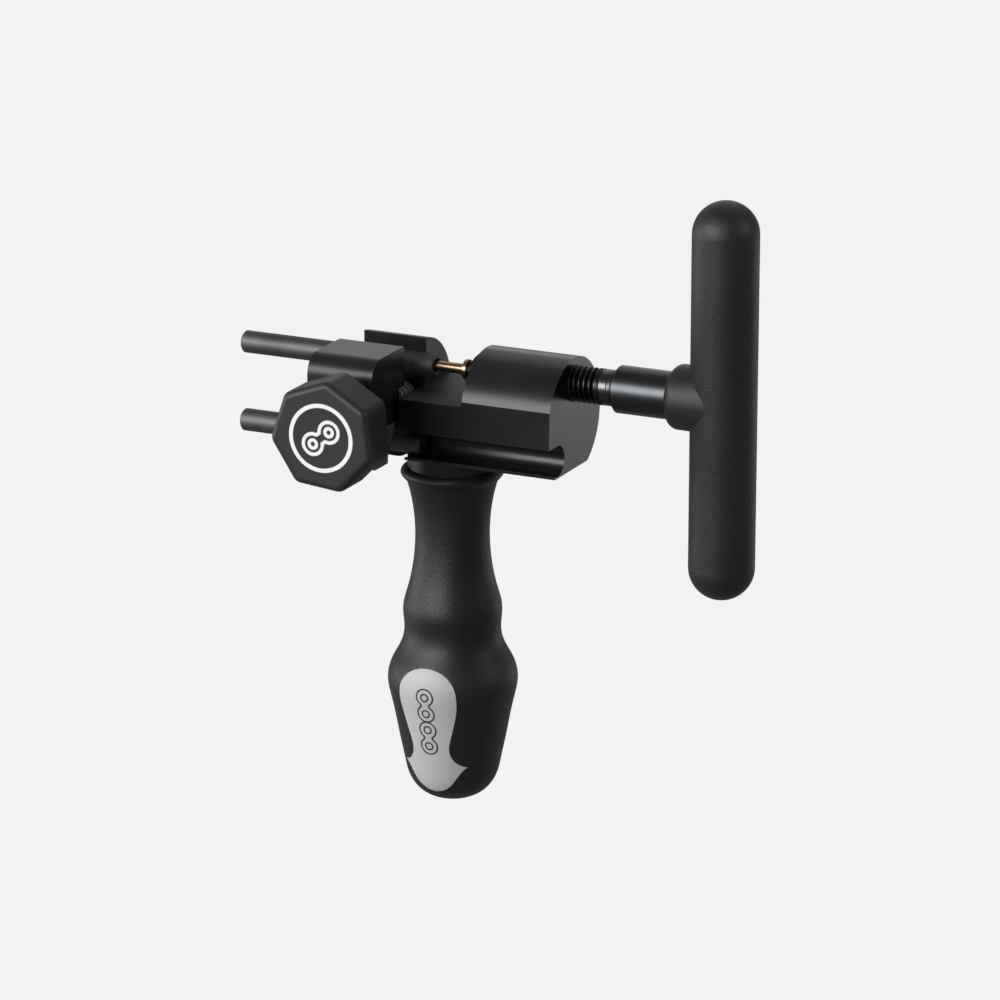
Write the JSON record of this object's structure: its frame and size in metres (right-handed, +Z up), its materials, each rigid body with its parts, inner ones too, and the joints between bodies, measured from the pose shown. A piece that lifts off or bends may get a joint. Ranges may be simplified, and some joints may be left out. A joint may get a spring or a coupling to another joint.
{
  "type": "bicycle chain tool",
  "caption": "Bench chain tool: a handled body with a chain gap, a T-handle screw that drives a pin against a hollow anvil rod, and a knob clamp for its rods.",
  "frame": {"origin": "chain seat: where the driver screw's axis passes over the handle's axis, in the chain gap", "axes": "+X along the driver screw towards the T-handle, +Y to the back of the tool, +Z up, away from the handle"},
  "size_m": [0.1521, 0.0662, 0.1774],
  "materials": {
    "black_anodised": "satin black anodised",
    "rod_steel": "dark satin",
    "bright_steel": "bright turned",
    "spring_steel": "bright drawn",
    "insert_brass": "turned",
    "knob_plastic": "fine matt",
    "pin_bronze": "polished bronze coating",
    "black_steel": "blackened, oiled",
    "collar_steel": "gloss black",
    "soft_black": "soft matt, fine grain",
    "core_plastic": "moulded",
    "badge_silver": "silver grey, satin"
  },
  "bodies": {
    "root": {"main_body": "black_anodised", "handle_ring": "black_anodised", "handle_shank": "bright_steel", "handle_core": "core_plastic", "handle_grip": "soft_black", "grip_badge": "badge_silver"},
    "anvil": {"anvil_rod": "rod_steel"},
    "riveting": {"riveting_rod": "rod_steel"},
    "jaw": {"front_jaw": "black_anodised", "jaw_guide_dowel": "bright_steel", "clamp_spring": "spring_steel"},
    "knob": {"clamp_washer": "bright_steel", "clamp_stud": "bright_steel", "knob_insert": "insert_brass", "knob": "knob_plastic"},
    "driver": {"driver_pin": "pin_bronze"},
    "screw": {"pressure_screw": "black_steel", "pin_retaining_ring": "spring_steel", "screw_collar": "collar_steel", "t_handle_core": "bright_steel", "t_handle_grip": "soft_black"}
  },
  "joints": [
    {"name": "pin_advance", "type": "slide", "parent": "root", "child": "driver", "axis": [1, 0, 0], "range_m": [-0.006, 0.018]},
    {"name": "screw_turn", "type": "hinge", "parent": "driver", "child": "screw", "pos_m": [0, 0, 0], "axis": [1, 0, 0], "range_deg": [-1441, 4321]},
    {"name": "jaw_close", "type": "slide", "parent": "root", "child": "jaw", "axis": [0, 1, 0], "range_m": [0, 0.0068], "deforming": ["clamp_spring"]},
    {"name": "knob_turn", "type": "hinge", "parent": "jaw", "child": "knob", "pos_m": [-0.015, 0, -0.0091], "axis": [0, 1, 0], "range_deg": [0, 3061]},
    {"name": "anvil_rod_slide", "type": "slide", "parent": "root", "child": "anvil", "axis": [1, 0, 0], "range_m": [-0.023, 0.002]},
    {"name": "riveting_rod_slide", "type": "slide", "parent": "root", "child": "riveting", "axis": [1, 0, 0], "range_m": [-0.023, 0.03]}
  ],
  "couplings": [
    {"joint": "screw_turn", "follows": "pin_advance", "rad_per_m": 4188.8},
    {"joint": "knob_turn", "follows": "jaw_close", "rad_per_m": 7854}
  ]
}
